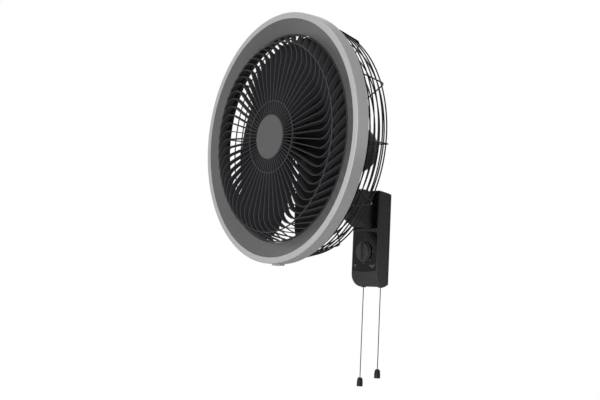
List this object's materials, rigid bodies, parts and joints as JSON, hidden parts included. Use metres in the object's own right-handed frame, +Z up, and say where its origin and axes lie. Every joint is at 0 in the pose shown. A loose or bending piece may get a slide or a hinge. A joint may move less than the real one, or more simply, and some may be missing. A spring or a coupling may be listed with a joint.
{
  "type": "wall mounted fan",
  "caption": "Wall fan with a swinging neck, tilting head, three-bladed impeller, spiral-ribbed front grille, wire rear guard, rotary speed knob and hanging pull cords.",
  "frame": {"origin": "middle of the wall plate's flat back face, in the plane of the wall", "axes": "+Y into the wall, so the fan blows towards -Y; +Z up; +X to the right of someone who faces the fan"},
  "size_m": [0.49, 0.2888, 0.7306],
  "materials": {
    "zinc_plate": "zinc plated",
    "black_plastic": "fine matt texture",
    "gloss_black": "high gloss",
    "pale_nylon": "natural",
    "dark_plastic": "smooth",
    "steel": "machined",
    "black_rubber": "smooth",
    "cord_fabric": "braided",
    "silver_plastic": "satin silver paint",
    "grille_plastic": "semi-matt",
    "black_wire": "powder coated",
    "black_paint": "semi-matt",
    "cast_aluminium": "as cast"
  },
  "bodies": {
    "wall_case": {"wall_plate": "zinc_plate", "rear_case": "black_plastic", "base_cover": "black_plastic", "control_panel": "gloss_black", "rotary_switch": "pale_nylon", "run_capacitor": "dark_plastic", "swing_bracket": "steel", "swing_pin": "steel", "swing_pin_nut": "steel", "swing_sun_gear": "pale_nylon", "thrust_washer": "pale_nylon", "left_pull_switch": "pale_nylon", "right_pull_switch": "pale_nylon", "left_cord_bush": "black_rubber", "right_cord_bush": "black_rubber"},
    "neck": {"neck_arm": "black_plastic", "neck_lid": "black_plastic", "lower_swing_bush": "pale_nylon", "upper_swing_bush": "pale_nylon", "swing_motor": "zinc_plate"},
    "swing_planet": {"swing_planet_gear": "pale_nylon"},
    "head": {"silver_ring": "silver_plastic", "ring_latch": "silver_plastic", "dish_ring": "grille_plastic", "front_grille": "grille_plastic", "hub_cap": "black_plastic", "rear_guard": "black_wire", "guard_nut": "black_plastic", "motor_housing": "black_paint", "motor_dome": "black_plastic", "motor_end_shield": "cast_aluminium", "stator": "steel", "front_bearing": "steel", "rear_bearing": "steel", "tilt_bolt": "steel", "tilt_nut": "steel"},
    "rotor": {"impeller": "grille_plastic", "spinner_nut": "black_plastic", "motor_shaft": "steel", "rotor_core": "steel"},
    "knob": {"speed_knob": "black_plastic", "switch_shaft": "steel"},
    "left_pull": {"left_pull_rod": "steel", "left_pull_cord": "cord_fabric", "left_pull_grip": "black_plastic"},
    "right_pull": {"right_pull_rod": "steel", "right_pull_cord": "cord_fabric", "right_pull_grip": "black_plastic"}
  },
  "joints": [
    {"name": "swing", "type": "hinge", "parent": "wall_case", "child": "neck", "pos_m": [0, -0.026, 0.06], "axis": [0, 0, 1], "range_deg": [-30, 30]},
    {"name": "planet_turn", "type": "hinge", "parent": "neck", "child": "swing_planet", "pos_m": [0, -0.048, 0.0625], "axis": [0, 0, 1], "range_deg": [-18, 18]},
    {"name": "tilt", "type": "hinge", "parent": "neck", "child": "head", "pos_m": [0, -0.112, 0.118], "axis": [1, 0, 0], "range_deg": [-15, 20]},
    {"name": "spin", "type": "hinge", "parent": "head", "child": "rotor", "pos_m": [0, -0.2, 0.18], "axis": [0, 1, 0], "continuous": true},
    {"name": "knob_turn", "type": "hinge", "parent": "wall_case", "child": "knob", "pos_m": [0, -0.04, -0.028], "axis": [0, 1, 0], "range_deg": [0, 180]},
    {"name": "left_pull_slide", "type": "slide", "parent": "wall_case", "child": "left_pull", "axis": [0, 0, -1], "range_m": [0, 0.01], "stiffness_N_per_m": 250, "springref_m": -0.002},
    {"name": "right_pull_slide", "type": "slide", "parent": "wall_case", "child": "right_pull", "axis": [0, 0, -1], "range_m": [0, 0.01], "stiffness_N_per_m": 250, "springref_m": -0.002}
  ],
  "couplings": [
    {"joint": "planet_turn", "follows": "swing", "ratio": 0.57143}
  ]
}
